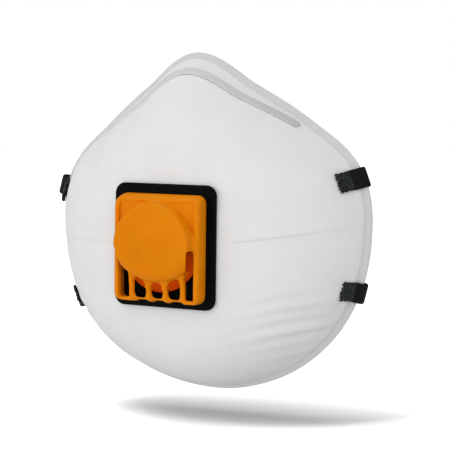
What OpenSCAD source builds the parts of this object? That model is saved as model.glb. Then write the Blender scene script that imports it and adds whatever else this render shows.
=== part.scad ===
// Cup-shaped disposable dust mask with an exhalation valve and two head straps.
// The valve faces -Y, the wearer's face is towards +Y and the nose is at +Z.
// The origin is where the valve's axis meets the plane of the cheeks.

/* [Cup] */
// Distance from the plane of the cheeks forward to the flat seat of the valve
cup_depth = 33.7; // [32:0.1:36]
// Half width of the flat seat under the valve
seat_half = 20; // [19.5:0.1:21]
// Radius of the hole that the valve's neck goes through
hole_r = 15; // [14.8:0.1:16]
// Width of the welded edge, measured outwards
edge_out = 2.1; // [1.8:0.1:2.6]
// Width of the welded edge, measured backwards
edge_back = 1.5; // [1.2:0.1:1.8]
// Share of its thickness that each layer keeps where the edge is welded
edge_press = 0.4; // [0.3:0.05:0.6]

/* [Layers] */
// Thickness of the outer cover fabric
cover_t = 0.5; // [0.4:0.1:0.7]
// Thickness of the filter fabric
filter_t = 0.6; // [0.4:0.1:0.8]
// Thickness of the stiff moulded shell
shell_t = 1; // [0.8:0.1:1.2]
// Thickness of the soft inner lining
lining_t = 0.5; // [0.4:0.1:0.7]

/* [Nose] */
// Half angle that the nose clip spans round the valve axis
clip_span = 44; // [36:1:46]
// Width of the nose clip
clip_w = 5; // [4:0.5:6]
// Thickness of the nose clip
clip_t = 0.8; // [0.6:0.1:1]
// Thickness of the foam strip inside the nose
foam_t = 4; // [3:0.5:5]

/* [Straps] */
// Width of the flat elastic strap
strap_w = 8; // [7:0.5:8.5]
// Thickness of the flat elastic strap
strap_t = 1; // [0.8:0.1:1.2]
// Angle of the upper strap's ends, from the nose round the valve axis
upper_angle = 69.5; // [67:0.5:71]
// Angle of the lower strap's ends, from the nose round the valve axis
lower_angle = 106; // [104:0.5:108]

/* [Valve] */
// Width of the valve's base plate
plate_w = 45; // [44:0.5:46]
// Height of the valve's base plate
plate_h = 47.6; // [46.8:0.1:48.4]
// Thickness of the valve's base plate
plate_t = 2; // [1.6:0.1:2.2]
// Width of the valve's cover
lid_w = 38; // [37:0.1:38.4]
// Height of the valve's cover along the face
lid_h = 41.4; // [41:0.1:42]
// How far the cover's frame and ribs stand off the base plate
lid_rise = 6.2; // [6:0.1:6.6]
// How far the cover's round pad stands off the base plate
pad_rise = 10.4; // [10:0.1:11]
// Radius of the cover's round pad
pad_r = 17.2; // [17:0.1:17.4]
// Wall thickness of the cover
lid_wall = 1.2; // [1:0.1:1.4]
// Inner radius of the valve's neck
port_r = 11.5; // [11:0.1:12]
// Radius of the silicone flap
flap_r = 13.3; // [13:0.1:13.5]
// Thickness of the silicone flap
flap_t = 0.5; // [0.4:0.1:0.6]
// Angle by which the valve sits turned on the cup, clockwise seen from the front
valve_turn = 1.5; // [0:0.5:3]

/* [Hidden] */

// Stations round the valve axis, from the nose at 0 to the chin at 180; both halves are alike
stations = [0, 22, 45, 68, 90, 115, 140, 160, 180];
// Distance of the cup's edge from the valve axis at each station
edge_radius = [74.5, 66.5, 66.5, 73, 71, 67.5, 63.5, 61, 60.5];
// Place of the cup's edge along Y at each station
edge_y = [-9, -6, -1.5, 0, 0, 0.5, 1, 2.5, 4.5];
// Power of the wall's rounded profile at each station: 2 is an ellipse, more is fuller
wall_power = [2, 2, 2, 2, 2, 2.1, 2.2, 2.3, 2.4];
// Angle that the profile has turned through where it meets the welded edge
wall_turn = [70, 67, 63, 64, 65, 70, 75, 80, 85];

columns = 48;
column_step = 360 / columns;
wall_steps = [0, 0.1, 0.22, 0.34, 0.46, 0.58, 0.68, 0.78, 0.87, 0.95, 1];
edge_steps = [0.35, 1];
rings = 1 + len(wall_steps) + len(edge_steps);
edge_slope = atan2(edge_back, edge_out);

depth_filter = cover_t;
depth_shell = depth_filter + filter_t;
depth_lining = depth_shell + shell_t;
depth_inside = depth_lining + lining_t;

plate_y = -cup_depth - plate_t;
seat_ring_h = 1;
flap_gap = 0.05;
flap_y = plate_y - seat_ring_h - flap_gap - flap_t;
flap_top = 12;
neck_wall = 3;
neck_r = port_r + neck_wall;
neck_len = depth_inside + 2;
plate_z = -0.2;
lid_z = -0.9;
// Distances of the two ribs on each side from the middle of the cover
rib_x = [3.75, 11.5];
rib_w = 2.2;
window_top = -13.6;
sill_t = 1.5;
// Radius of the skirt at its edge near the plate, and how much it narrows per unit forward
skirt_r = 18.2;
skirt_slope = 0.69;
skirt_t = 0.9;
// How far the skirt's edge stays off the base plate
skirt_low = 2.2;
// How far one solid reaches past another where they are cut or joined
cut = 0.5;

strap_gap = 0.15;
weld_lift = 0.1;
leg_run = 7.3;
upper_weld = 0.81;
lower_weld = 0.89;

// Route of the upper strap from its right end to its lowest point; the left half mirrors it
upper_route = [[61.3, 1.5, 23], [58, 1.6, 22.5], [54.5, 1.8, 20.5], [51, 2, 17], [47, 2.2, 11.8],
               [43, 2.5, 6.6], [38.5, 2.8, 1], [33.5, 3.1, -4.8], [28, 3.5, -10.6], [22, 3.9, -16],
               [15.5, 4.2, -20.4], [8, 4.4, -23.4], [0, 4.5, -24.5]];
// Route of the lower strap, given in the same way
lower_route = [[58.9, 1.8, -17], [56, 1.9, -17.6], [52.6, 2.1, -19.8], [49, 2.3, -23.4], [45, 2.6, -28],
               [40.5, 2.9, -32.8], [35.5, 3.3, -37.6], [30, 3.7, -42.1], [24, 4.1, -46.2],
               [17, 4.5, -49.8], [9, 4.8, -52.2], [0, 5, -53]];

// ---- Cup surface -----------------------------------------------------------

function half_turn(a) = abs(a) > 180 ? 360 - abs(a) : abs(a);

function slope_at(v, k) =
    k == 0 || k == len(v) - 1 ? 0 : (v[k + 1] - v[k - 1]) / (stations[k + 1] - stations[k - 1]);

// Smooth value at angle a of a quantity given at the stations
function round_value(v, a) =
    let (b = half_turn(a),
         k = max([for (i = [0 : len(v) - 2]) if (stations[i] <= b) i]),
         h = stations[k + 1] - stations[k],
         s = (b - stations[k]) / h)
    (2 * pow(s, 3) - 3 * pow(s, 2) + 1) * v[k]
    + (pow(s, 3) - 2 * pow(s, 2) + s) * h * slope_at(v, k)
    + (3 * pow(s, 2) - 2 * pow(s, 3)) * v[k + 1]
    + (pow(s, 3) - pow(s, 2)) * h * slope_at(v, k + 1);

// Radius of the flat seat, a square with round corners
function seat_radius(a) = seat_half / pow(pow(cos(a), 4) + pow(sin(a), 4), 0.25);

// Radius and Y of the wall at angle a, share t of the way out, depth d under the outer face
function wall_rz(a, t, d) =
    let (turn = round_value(wall_turn, a),
         e = 2 / round_value(wall_power, a),
         s = pow(sin(t * turn), e) / pow(sin(turn), e),
         low = pow(cos(turn), e),
         c = (pow(cos(t * turn), e) - low) / (1 - low),
         r0 = seat_radius(a),
         r1 = round_value(edge_radius, a) - edge_out - d,
         y1 = round_value(edge_y, a) - edge_back)
    [r0 + (r1 - r0) * s, y1 - (y1 + cup_depth - d) * c];

// The same on the welded edge, share k of the way across it
function edge_rz(a, k, d) =
    [round_value(edge_radius, a) - edge_out * (1 - k) - d * edge_press * sin(edge_slope),
     round_value(edge_y, a) - edge_back * (1 - k) + d * edge_press * cos(edge_slope)];

function turned(rz, a) = [rz[0] * sin(a), rz[1], rz[0] * cos(a)];

function ring_rz(i, a, d) =
    i == 0 ? [hole_r, d - cup_depth]
    : i <= len(wall_steps) ? wall_rz(a, wall_steps[i - 1], d)
    : edge_rz(a, edge_steps[i - 1 - len(wall_steps)], d);

// Two triangles of a grid cell, always split along the same diagonal
function cell(p00, p10, p11, p01) = [[p00, p10, p11], [p00, p11, p01]];
function flip(faces) = [for (f = faces) [f[2], f[1], f[0]]];
function joined(lists) = [for (l = lists) for (x = l) x];

// One layer of the cup, between two depths under its outer face
module layer(d0, d1) {
    half = rings * columns;
    points = [for (d = [d0, d1]) for (i = [0 : rings - 1]) for (j = [0 : columns - 1])
              turned(ring_rz(i, j * column_step, d), j * column_step)];
    function at(i, j, side) = side * half + i * columns + j % columns;
    function skin(side) = joined([for (i = [0 : rings - 2]) for (j = [0 : columns - 1])
        cell(at(i, j, side), at(i + 1, j, side), at(i + 1, j + 1, side), at(i, j + 1, side))]);
    function band(i) = joined([for (j = [0 : columns - 1])
        cell(at(i, j, 0), at(i, j + 1, 0), at(i, j + 1, 1), at(i, j, 1))]);
    polyhedron(points, concat(skin(0), flip(skin(1)), flip(band(rings - 1)), band(0)));
}

module outer_cover() {
    color("whitesmoke") layer(0, depth_filter);
}

module filter_layer() {
    color("white") layer(depth_filter, depth_shell);
}

module support_shell() {
    color("gainsboro") layer(depth_shell, depth_lining);
}

module inner_lining() {
    color("snow") layer(depth_lining, depth_inside);
}

// ---- Nose ------------------------------------------------------------------

// Closed sheet over a grid of outer and inner points, rows by columns
module sheet(outer, inner) {
    m = len(outer);
    n = len(outer[0]);
    points = concat(joined(outer), joined(inner));
    function at(i, j, side) = side * m * n + i * n + j;
    function skin(side) = joined([for (i = [0 : m - 2]) for (j = [0 : n - 2])
        cell(at(i, j, side), at(i + 1, j, side), at(i + 1, j + 1, side), at(i, j + 1, side))]);
    function side_i(i) = joined([for (j = [0 : n - 2])
        cell(at(i, j, 0), at(i, j + 1, 0), at(i, j + 1, 1), at(i, j, 1))]);
    function side_j(j) = joined([for (i = [0 : m - 2])
        cell(at(i, j, 0), at(i + 1, j, 0), at(i + 1, j, 1), at(i, j, 1))]);
    polyhedron(points, concat(skin(0), flip(skin(1)), flip(side_i(m - 1)), side_i(0),
                              side_j(n - 1), flip(side_j(0))));
}

// Share of the way out along the wall at which the nose clip lies
clip_rows = 4;
clip_columns = 32;
function clip_share(a) = 0.82 + 0.0014 * a + 0.00003 * pow(a, 2);
// Half width of the clip, which ends in a round tip
function clip_half(a) = clip_w / 2 * pow(max(1 - pow(abs(a) / clip_span, 16), 0.02), 0.5);
// Share of the wall's length that one millimetre takes there
wall_share_mm = 0.0125;
function clip_point(i, j, d) =
    let (a = -clip_span + 2 * clip_span * j / clip_columns,
         across = clip_half(a) * (2 * i / clip_rows - 1) * wall_share_mm)
    turned(wall_rz(a, clip_share(a) + across, d), a);

module nose_clip() {
    color("lightgray") sheet(
        [for (i = [0 : clip_rows]) [for (j = [0 : clip_columns]) clip_point(i, j, -clip_t)]],
        [for (i = [0 : clip_rows]) [for (j = [0 : clip_columns]) clip_point(i, j, 0)]]);
}

foam_columns = 5;
foam_rings = [6, 7, 8, 9];
function foam_point(i, j, d) =
    let (a = j * column_step) turned(ring_rz(foam_rings[i] + 1, a, depth_inside + d), a);
function foam_depth(i, j) = foam_t * (abs(j) == foam_columns || i == 0 || i == 3 ? 0.4 : 1);

module nose_foam() {
    color("dimgray") sheet(
        [for (i = [0 : 3]) [for (j = [-foam_columns : foam_columns]) foam_point(i, j, 0)]],
        [for (i = [0 : 3]) [for (j = [-foam_columns : foam_columns])
            foam_point(i, j, foam_depth(i, j))]]);
}

// ---- Valve -----------------------------------------------------------------

// Disc or block that stands on the plane y = from and reaches forward to y = from - length
module forward(from, length) {
    translate([0, from, 0]) rotate([90, 0, 0]) linear_extrude(length) children();
}

module round_rectangle(w, h, r) {
    square([w - 2 * r, h], center = true);
    square([w, h - 2 * r], center = true);
    for (x = [-1, 1], y = [-1, 1])
        translate([x * (w / 2 - r), y * (h / 2 - r)]) circle(r, $fn = 32);
}

module valve_base() {
    color("black") rotate([0, valve_turn, 0]) {
        difference() {
            forward(-cup_depth, plate_t) translate([0, plate_z]) round_rectangle(plate_w, plate_h, 4.2);
            forward(1 - cup_depth, plate_t + 2) circle(port_r, $fn = 64);
        }
        // Neck that goes through the cup
        difference() {
            forward(neck_len - cup_depth, neck_len) circle(neck_r, $fn = 64);
            forward(neck_len - cup_depth + 1, neck_len + 2) circle(port_r, $fn = 64);
        }
        // Raised ring that the flap closes on
        difference() {
            forward(plate_y, seat_ring_h) circle(port_r + 1.5, $fn = 64);
            forward(plate_y + 1, seat_ring_h + 2) circle(port_r, $fn = 64);
        }
        // Cross bars that keep the flap from being drawn in, with a hub
        for (a = [0, 90])
            forward(plate_y + 1.5, 1.5) rotate(a + 45) square([2 * port_r + 1, 1.4], center = true);
        forward(plate_y + 1.5, 1.5) circle(2, $fn = 32);
        // Bar that clamps the flap's top edge
        forward(plate_y, 2.5) translate([0, flap_top + 1.7]) square([14, 2.2], center = true);
    }
}

module valve_retainer() {
    color("black") rotate([0, valve_turn, 0]) difference() {
        forward(depth_inside + 1.5 - cup_depth, 1.5) circle(seat_half - 1, $fn = 64);
        forward(depth_inside + 3 - cup_depth, 6) circle(neck_r + 0.1, $fn = 64);
    }
}

module valve_flap() {
    color("ivory") rotate([0, valve_turn, 0]) forward(flap_y + flap_t, flap_t) difference() {
        circle(flap_r, $fn = 64);
        translate([-flap_r, flap_top]) square([2 * flap_r, flap_r]);
    }
}

// Openings between the ribs at the bottom of the cover, and beside its round pad
module windows() {
    bottom = lid_z - lid_h / 2 + sill_t;
    height = window_top - bottom;
    middle = rib_x[0] - rib_w / 2;
    from = rib_x[0] + rib_w / 2;
    to = rib_x[1] - rib_w / 2;
    inner = rib_x[1] + rib_w / 2;
    outer = lid_w / 2 - lid_wall - 0.5;
    translate([-middle, bottom]) square([2 * middle, height]);
    for (side = [-1, 1]) {
        translate([side > 0 ? from : -to, bottom]) square([to - from, height]);
        translate([side > 0 ? inner : -outer, bottom]) difference() {
            square([outer - inner, -bottom]);
            translate([side > 0 ? -inner : outer, -bottom]) circle(pad_r, $fn = 64);
        }
    }
}

// Slanted wall under the pad that turns the breath down towards the openings
module skirt() {
    high = pad_rise - lid_wall + cut / 2;
    narrow = skirt_slope * (high - skirt_low);
    translate([0, plate_y, 0]) rotate([90, 0, 0]) rotate_extrude($fn = 64)
        polygon([[skirt_r - skirt_t, skirt_low], [skirt_r, skirt_low],
                 [skirt_r - narrow, high], [skirt_r - narrow - skirt_t, high]]);
}

module valve_cover() {
    color("orange") rotate([0, valve_turn, 0]) {
        difference() {
            union() {
                forward(plate_y, lid_rise) translate([0, lid_z]) round_rectangle(lid_w, lid_h, 3);
                forward(plate_y, pad_rise) circle(pad_r, $fn = 96);
            }
            forward(plate_y + cut, lid_rise - lid_wall + cut)
                translate([0, lid_z])
                    round_rectangle(lid_w - 2 * lid_wall, lid_h - 2 * lid_wall, 2);
            forward(plate_y + cut, pad_rise - lid_wall + cut) circle(pad_r - lid_wall, $fn = 96);
            forward(plate_y - 3, pad_rise) windows();
        }
        skirt();
    }
}

// ---- Straps ----------------------------------------------------------------

// Outline of a welded strap end, folded round the cup's edge: radius against Y
module fold_outline(a, weld) {
    steps = 6;
    tip = edge_rz(a, 1, depth_inside / 2);
    inner_fold = depth_inside * edge_press / 2 + 0.25;
    function along(lift) = [for (i = [0 : steps])
        wall_rz(a, weld + (1 - weld) * i / steps, -lift)];
    function fold(r) = [for (b = [edge_slope - 90 : 20 : 90]) tip + r * [cos(b), sin(b)]];
    function leg(r) = [[tip[0] + 1 - leg_run, tip[1] + r]];
    polygon(concat(along(weld_lift + strap_t), fold(inner_fold + strap_t), leg(inner_fold + strap_t),
                   leg(inner_fold), [for (k = [len(fold(1)) - 1 : -1 : 0]) fold(inner_fold)[k]],
                   [for (k = [steps : -1 : 0]) along(weld_lift)[k]]));
}

// Welded end of a strap on the right side; the free strap starts at x = start
module strap_end(a, weld, start) {
    reach = 20;
    color("black") difference() {
        rotate([0, a - 90, 0]) translate([0, 0, -strap_w / 2])
            linear_extrude(strap_w) fold_outline(a, weld);
        translate([start[0] + strap_gap - reach, start[1] - 1.5, start[2] - reach])
            cube([reach, reach, 2 * reach]);
    }
}

module strap_end_upper_right() {
    strap_end(upper_angle, upper_weld, upper_route[0]);
}

module strap_end_upper_left() {
    mirror([1, 0, 0]) strap_end(upper_angle, upper_weld, upper_route[0]);
}

module strap_end_lower_right() {
    strap_end(lower_angle, lower_weld, lower_route[0]);
}

module strap_end_lower_left() {
    mirror([1, 0, 0]) strap_end(lower_angle, lower_weld, lower_route[0]);
}

function unit(v) = v / norm(v);
function mirrored_route(half) =
    concat(half, [for (k = [len(half) - 2 : -1 : 0]) [-half[k][0], half[k][1], half[k][2]]]);

// The strap's width stands upright at both ends and lies along Y where the strap hangs
twist_points = 6;
function twist(k, n) = let (s = min(1, min(k, n - 1 - k) / twist_points)) 90 * s * s * (3 - 2 * s);

// Eight corners of the flat section, as shares of half the width and half the thickness
section = [[1, 0.5], [0.9, 1], [-0.9, 1], [-1, 0.5], [-1, -0.5], [-0.9, -1], [0.9, -1], [1, -0.5]];

module strap(half) {
    route = mirrored_route(half);
    n = len(route);
    m = len(section);
    points = [for (k = [0 : n - 1])
        let (ahead = k == 0 || k == n - 1 ? [-1, 0, 0] : unit(route[k + 1] - route[k - 1]),
             up = unit(cross(ahead, [0, 1, 0])),
             side = unit(cross(up, ahead)),
             b = twist(k, n),
             wide = cos(b) * up + sin(b) * side,
             thick = cross(ahead, wide))
        for (q = section) route[k] + q[0] * strap_w / 2 * wide + q[1] * strap_t / 2 * thick];
    walls = joined([for (k = [0 : n - 2]) for (i = [0 : m - 1])
        cell(k * m + i, k * m + (i + 1) % m, (k + 1) * m + (i + 1) % m, (k + 1) * m + i)]);
    first = [for (i = [m - 1 : -1 : 0]) i];
    last = [for (i = [0 : m - 1]) (n - 1) * m + i];
    color("black") polyhedron(points, concat(walls, [first, last]));
}

module upper_strap() {
    strap(upper_route);
}

module lower_strap() {
    strap(lower_route);
}

outer_cover();
filter_layer();
support_shell();
inner_lining();
nose_clip();
nose_foam();
valve_base();
valve_retainer();
valve_flap();
valve_cover();
strap_end_upper_right();
strap_end_upper_left();
strap_end_lower_right();
strap_end_lower_left();
upper_strap();
lower_strap();
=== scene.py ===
"""Cup-shaped disposable dust mask with an exhalation valve and two elastic head straps.

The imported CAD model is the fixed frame. This script adds the looks: moulded fabric layers,
the nose clip and foam, braided straps and the moulded parts of the valve.
Sizes are in millimetres unless a name says otherwise; add_mesh() turns them into metres.
"""
import math

import bpy
import numpy as np
import openvdb
from mathutils import Matrix, Vector


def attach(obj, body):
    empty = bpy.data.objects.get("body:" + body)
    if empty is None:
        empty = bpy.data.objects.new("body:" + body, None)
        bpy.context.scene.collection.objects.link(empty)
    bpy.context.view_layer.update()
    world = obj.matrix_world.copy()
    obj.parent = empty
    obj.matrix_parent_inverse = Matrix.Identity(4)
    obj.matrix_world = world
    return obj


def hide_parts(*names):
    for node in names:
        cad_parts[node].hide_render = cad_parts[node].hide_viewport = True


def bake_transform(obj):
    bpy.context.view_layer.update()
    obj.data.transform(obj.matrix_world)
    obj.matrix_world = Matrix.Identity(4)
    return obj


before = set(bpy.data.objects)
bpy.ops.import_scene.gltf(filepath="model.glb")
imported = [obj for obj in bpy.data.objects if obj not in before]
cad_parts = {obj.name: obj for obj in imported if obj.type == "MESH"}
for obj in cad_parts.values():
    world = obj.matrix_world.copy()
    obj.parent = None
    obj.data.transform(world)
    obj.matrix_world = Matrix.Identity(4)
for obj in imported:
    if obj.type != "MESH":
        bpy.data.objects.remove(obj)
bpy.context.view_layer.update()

MM = 0.001

# ---- Sizes shared with the CAD model ----------------------------------------------------

CUP_DEPTH = 33.7
SEAT_HALF = 20
HOLE_R = 15
EDGE_OUT = 2.1
EDGE_BACK = 1.5
EDGE_PRESS = 0.4
EDGE_SLOPE = math.atan2(EDGE_BACK, EDGE_OUT)
COVER_T, FILTER_T, SHELL_T, LINING_T = 0.5, 0.6, 1.0, 0.5
CUP_T = COVER_T + FILTER_T + SHELL_T + LINING_T

# Stations round the valve axis, in degrees from the nose at 0 to the chin at 180
STATIONS = np.array([0, 22, 45, 68, 90, 115, 140, 160, 180], float)
EDGE_RADIUS = np.array([74.5, 66.5, 66.5, 73, 71, 67.5, 63.5, 61, 60.5])
EDGE_Y = np.array([-9, -6, -1.5, 0, 0, 0.5, 1, 2.5, 4.5])
WALL_POWER = np.array([2, 2, 2, 2, 2, 2.1, 2.2, 2.3, 2.4])
WALL_TURN = np.array([70, 67, 63, 64, 65, 70, 75, 80, 85], float)

CLIP_SPAN, CLIP_W, CLIP_T = 44, 5, 0.8
WALL_SHARE_MM = 0.0125
FOAM_T = 4

STRAP_W, STRAP_T = 8, 1
WELD_LIFT = 0.1
UPPER_ANGLE, UPPER_WELD = 69.5, 0.81
LOWER_ANGLE, LOWER_WELD = 106, 0.89

# Routes of the free straps from the right end to the lowest point; the left half mirrors them
UPPER_ROUTE = [(61.3, 1.5, 23), (58, 1.6, 22.5), (54.5, 1.8, 20.5), (51, 2, 17), (47, 2.2, 11.8),
               (43, 2.5, 6.6), (38.5, 2.8, 1), (33.5, 3.1, -4.8), (28, 3.5, -10.6), (22, 3.9, -16),
               (15.5, 4.2, -20.4), (8, 4.4, -23.4), (0, 4.5, -24.5)]
LOWER_ROUTE = [(58.9, 1.8, -17), (56, 1.9, -17.6), (52.6, 2.1, -19.8), (49, 2.3, -23.4),
               (45, 2.6, -28), (40.5, 2.9, -32.8), (35.5, 3.3, -37.6), (30, 3.7, -42.1),
               (24, 4.1, -46.2), (17, 4.5, -49.8), (9, 4.8, -52.2), (0, 5, -53)]

PLATE_W, PLATE_H, PLATE_T, PLATE_Z = 45, 47.6, 2, -0.2
PLATE_FRONT = CUP_DEPTH + PLATE_T
LID_W, LID_H, LID_Z = 38, 41.4, -0.9
LID_RISE, PAD_RISE, PAD_R, LID_WALL = 6.2, 10.4, 17.2, 1.2
PORT_R, NECK_WALL = 11.5, 3
NECK_LEN = CUP_T + 2
RIB_X, RIB_W = (3.75, 11.5), 2.2
VALVE_TURN = 1.5


# ---- Camera -----------------------------------------------------------------------------

AZIMUTH, ELEVATION, ROLL = 31.3, 3.9, -0.66
AWAY, LENS = 666, 135.3
MASK_MIDDLE = (0, -15, -0.7)
# How far right of the mask's middle and above it the camera aims
AIM_RIGHT, AIM_UP = 13.1, 7.4


def add_camera():
    """Three-quarter front view from the wearer's left, slightly above the valve."""
    azimuth, elevation, roll = (math.radians(v) for v in (AZIMUTH, ELEVATION, ROLL))
    middle = Vector(MASK_MIDDLE) * MM
    back = Vector((math.sin(azimuth) * math.cos(elevation),
                   -math.cos(azimuth) * math.cos(elevation), math.sin(elevation)))
    right = Vector((math.cos(azimuth), math.sin(azimuth), 0))
    up = back.cross(right)
    right_rolled = right * math.cos(roll) + up * math.sin(roll)
    up_rolled = -right * math.sin(roll) + up * math.cos(roll)
    place = middle + back * AWAY * MM
    aim = middle + (right_rolled * AIM_RIGHT + up_rolled * AIM_UP) * MM
    away = (place - aim).normalized()
    side = (right_rolled - away * right_rolled.dot(away)).normalized()
    turn = Matrix((side, away.cross(side), away)).transposed()
    data = bpy.data.cameras.new("camera")
    data.sensor_width = 36
    data.lens = LENS
    data.clip_start, data.clip_end = 0.02, 50
    camera = bpy.data.objects.new("camera", data)
    camera.matrix_world = Matrix.Translation(place) @ turn.to_4x4()
    bpy.context.scene.collection.objects.link(camera)
    bpy.context.scene.camera = camera


# ---- Mesh helpers -----------------------------------------------------------------------

def add_mesh(name, points, faces, material, weave=None, sharp_above=None):
    """New smooth object from points in millimetres. weave is a surface coordinate in mm."""
    mesh = bpy.data.meshes.new(name)
    mesh.from_pydata((np.asarray(points, float) * MM).tolist(), [], [list(f) for f in faces])
    mesh.update()
    mesh.shade_smooth()
    if sharp_above is not None:
        mesh.set_sharp_from_angle(angle=math.radians(sharp_above))
    if weave is not None:
        attribute = mesh.attributes.new("weave", "FLOAT_VECTOR", "POINT")
        attribute.data.foreach_set("vector", np.asarray(weave, np.float32).ravel())
    mesh.materials.append(material)
    made = bpy.data.objects.new(name, mesh)
    bpy.context.scene.collection.objects.link(made)
    return made


def grid_faces(rows, columns, start=0, wrap=False, flip=False):
    """Quads over a grid of rows x columns points, closed across the columns if wrap."""
    i = np.arange(rows - 1)[:, None]
    j = np.arange(columns if wrap else columns - 1)[None, :]
    after = (j + 1) % columns
    quads = np.stack(np.broadcast_arrays(i * columns + j, (i + 1) * columns + j,
                                         (i + 1) * columns + after, i * columns + after), -1)
    quads = quads.reshape(-1, 4) + start
    return quads[:, ::-1] if flip else quads


def grid_normals(points, wrap):
    """Unit normals of a grid over the cup, away from the face. Rows run outwards, columns round."""
    across = np.gradient(points, axis=0)
    if wrap:
        along = (np.roll(points, -1, axis=1) - np.roll(points, 1, axis=1)) / 2
    else:
        along = np.gradient(points, axis=1)
    normal = np.cross(along, across)
    return normal / np.maximum(np.linalg.norm(normal, axis=-1, keepdims=True), 1e-9)


def bell(x, width):
    return np.exp(-(x / width) ** 2)


def smooth_step(x, low, high):
    s = np.clip((x - low) / (high - low), 0, 1)
    return s * s * (3 - 2 * s)


def waves(x, z, seed, size, count=24):
    """Soft, seeded, uneven surface of about unit height, with lumps of about the given size."""
    draw = np.random.default_rng(seed)
    total = np.zeros(np.broadcast(x, z).shape)
    for _ in range(count):
        heading = draw.uniform(0, 2 * math.pi)
        length = size * draw.uniform(0.7, 1.8)
        phase = draw.uniform(0, 2 * math.pi)
        across = x * math.cos(heading) + z * math.sin(heading)
        total += np.sin(2 * math.pi * across / length + phase)
    return total / math.sqrt(count / 2)


# ---- Materials --------------------------------------------------------------------------

class Surface:
    """A node material built round one Principled shader."""

    def __init__(self, name, colour, roughness, **sockets):
        self.material = bpy.data.materials.new(name)
        self.material.use_nodes = True
        self.tree = self.material.node_tree
        self.shader = self.tree.nodes["Principled BSDF"]
        self.shader.inputs["Base Color"].default_value = (*colour, 1)
        self.shader.inputs["Roughness"].default_value = roughness
        for socket, value in sockets.items():
            self.shader.inputs[socket.replace("_", " ")].default_value = value
        self.height = None

    def node(self, kind, inputs=None, **settings):
        made = self.tree.nodes.new(kind)
        for key, value in settings.items():
            setattr(made, key, value)
        for key, value in (inputs or {}).items():
            if isinstance(value, bpy.types.NodeSocket):
                self.tree.links.new(value, made.inputs[key])
            else:
                made.inputs[key].default_value = value
        return made

    def place(self):
        """Object coordinates in metres."""
        return self.node("ShaderNodeTexCoord").outputs["Object"]

    def weave(self):
        """The mesh's own surface coordinate in millimetres."""
        return self.node("ShaderNodeAttribute", attribute_name="weave").outputs["Vector"]

    def stretched(self, vector, scale, turn=0):
        made = self.node("ShaderNodeMapping", {"Vector": vector, "Scale": scale,
                                               "Rotation": (0, 0, math.radians(turn))})
        return made.outputs["Vector"]

    def noise(self, vector, scale, detail=3, roughness=0.55):
        return self.node("ShaderNodeTexNoise", {"Vector": vector, "Scale": scale, "Detail": detail,
                                                "Roughness": roughness}).outputs["Fac"]

    def math(self, operation, a, b=0.0, c=0.0):
        return self.node("ShaderNodeMath", {0: a, 1: b, 2: c}, operation=operation).outputs[0]

    def ramp(self, value, stops):
        made = self.node("ShaderNodeValToRGB", {"Fac": value})
        elements = made.color_ramp.elements
        while len(elements) < len(stops):
            elements.new(0.5)
        for element, (at, colour) in zip(elements, stops):
            element.position = at
            element.color = (*colour, 1) if len(colour) == 3 else colour
        return made.outputs["Color"]

    def remap(self, value, low, high, to_low, to_high):
        made = self.node("ShaderNodeMapRange", {"Value": value, "From Min": low, "From Max": high,
                                                "To Min": to_low, "To Max": to_high})
        return made.outputs["Result"]

    def colour(self, socket):
        self.tree.links.new(socket, self.shader.inputs["Base Color"])

    def rough(self, socket):
        self.tree.links.new(socket, self.shader.inputs["Roughness"])

    def bump(self, height, depth_mm):
        """Adds a layer of relief; height runs from 0 to 1 over depth_mm."""
        inputs = {"Height": height, "Distance": depth_mm * MM, "Strength": 1.0}
        if self.height is not None:
            inputs["Normal"] = self.height
        self.height = self.node("ShaderNodeBump", inputs).outputs["Normal"]
        self.tree.links.new(self.height, self.shader.inputs["Normal"])


def grey(value, warm=0.0):
    return (value * (1 + warm), value, value * (1 - warm))


def nonwoven(name, shade, bond_pitch, bond_depth, fibre_depth, warm=0.0):
    """Spunbond fabric: random fibres, pressed together at a grid of small bond points."""
    s = Surface(name, grey(shade, warm), 0.86, Sheen_Weight=0.05, Sheen_Roughness=0.5,
                Specular_IOR_Level=0.15)
    weave = s.weave()
    fibres = s.math("MULTIPLY", s.noise(s.stretched(weave, (3.2, 0.5, 1), 28), 1.6, 4),
                    s.noise(s.stretched(weave, (0.5, 3.2, 1), -21), 1.6, 4))
    cloud = s.noise(s.place(), 90, 3)
    s.bump(s.remap(fibres, 0.1, 0.45, 0, 1), fibre_depth)
    points = s.stretched(weave, (1 / bond_pitch, 1 / bond_pitch, 1), 45)
    separate = s.node("ShaderNodeSeparateXYZ", {"Vector": points})
    wave_u = s.math("COSINE", s.math("MULTIPLY", separate.outputs["X"], 2 * math.pi))
    wave_v = s.math("COSINE", s.math("MULTIPLY", separate.outputs["Y"], 2 * math.pi))
    lattice = s.math("MULTIPLY", s.math("MAXIMUM", wave_u, 0.0), s.math("MAXIMUM", wave_v, 0.0))
    bond = s.remap(lattice, 0.45, 0.8, 0, 1)
    s.bump(s.math("SUBTRACT", 1.0, bond), bond_depth)
    tone = s.math("ADD", s.math("MULTIPLY", cloud, 0.7), s.math("MULTIPLY", fibres, 0.6))
    cloth = s.ramp(tone, [(0.3, grey(shade * 0.965, warm)), (0.6, grey(shade, warm)),
                          (0.85, grey(min(shade * 1.02, 0.98), warm))])
    # The welded edge is pressed dense and lets more light through, so it looks greyer. Part of that
    # grey is painted shade: the edge is darker than the pressing alone makes it, for the shade it
    # lies in.
    place = s.node("ShaderNodeSeparateXYZ", {"Vector": weave}).outputs["Z"]
    pressed = s.remap(place, 0.992, 1.0, 0, 1)
    s.colour(s.node("ShaderNodeMix", {"Factor": pressed, "A": cloth, "B": (*grey(shade * 0.79), 1)},
                    data_type="RGBA", blend_type="MIX").outputs["Result"])
    s.rough(s.remap(bond, 0, 1, 0.88, 0.7))
    return s.material


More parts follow.
